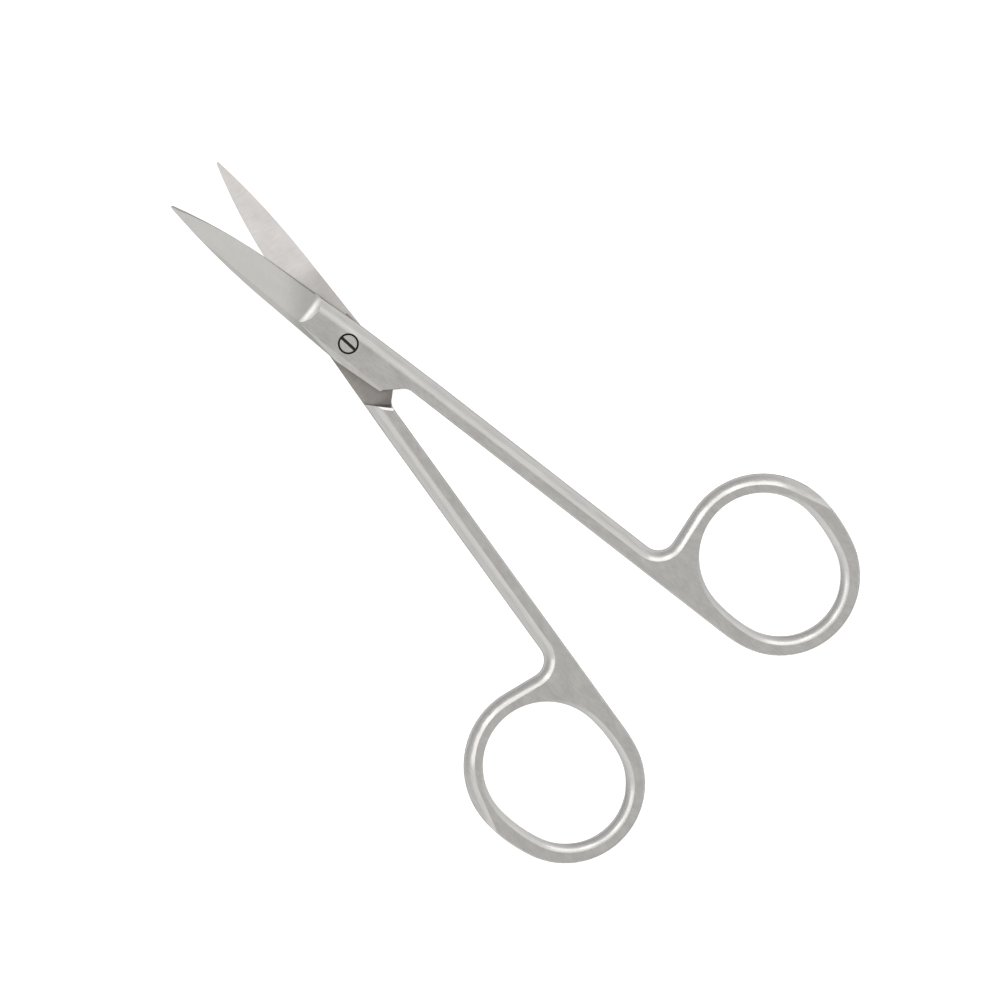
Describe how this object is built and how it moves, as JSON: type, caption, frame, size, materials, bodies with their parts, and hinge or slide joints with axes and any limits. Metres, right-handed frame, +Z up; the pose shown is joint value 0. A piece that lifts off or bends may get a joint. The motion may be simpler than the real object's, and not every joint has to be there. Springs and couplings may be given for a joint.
{
  "type": "iris scissors",
  "caption": "Fine surgical scissors: straight pointed blades on a slotted screw pivot, slender shanks and oval finger rings, for cutting fine tissue, sutures and dressings.",
  "frame": {"origin": "on the pivot axis, on the outer face of the lower half's joint, which the scissors lie on", "axes": "+Y halves the angle between the blades and points to the tips, +Z runs up the pivot to the screw head, +X points to the ring of the upper half"},
  "size_m": [0.068, 0.1119, 0.004],
  "materials": {
    "upper_steel": "satin ground surgical stainless steel",
    "lower_steel": "satin ground surgical stainless steel",
    "screw_steel": "turned and ground stainless steel"
  },
  "bodies": {
    "lower": {"lower_half": "lower_steel", "pivot_screw": "screw_steel"},
    "upper": {"upper_half": "upper_steel"}
  },
  "joints": [
    {"name": "pivot", "type": "hinge", "parent": "lower", "child": "upper", "pos_m": [0, 0, 0.002], "axis": [0, 0, 1], "range_deg": [-16.26, 120]}
  ]
}
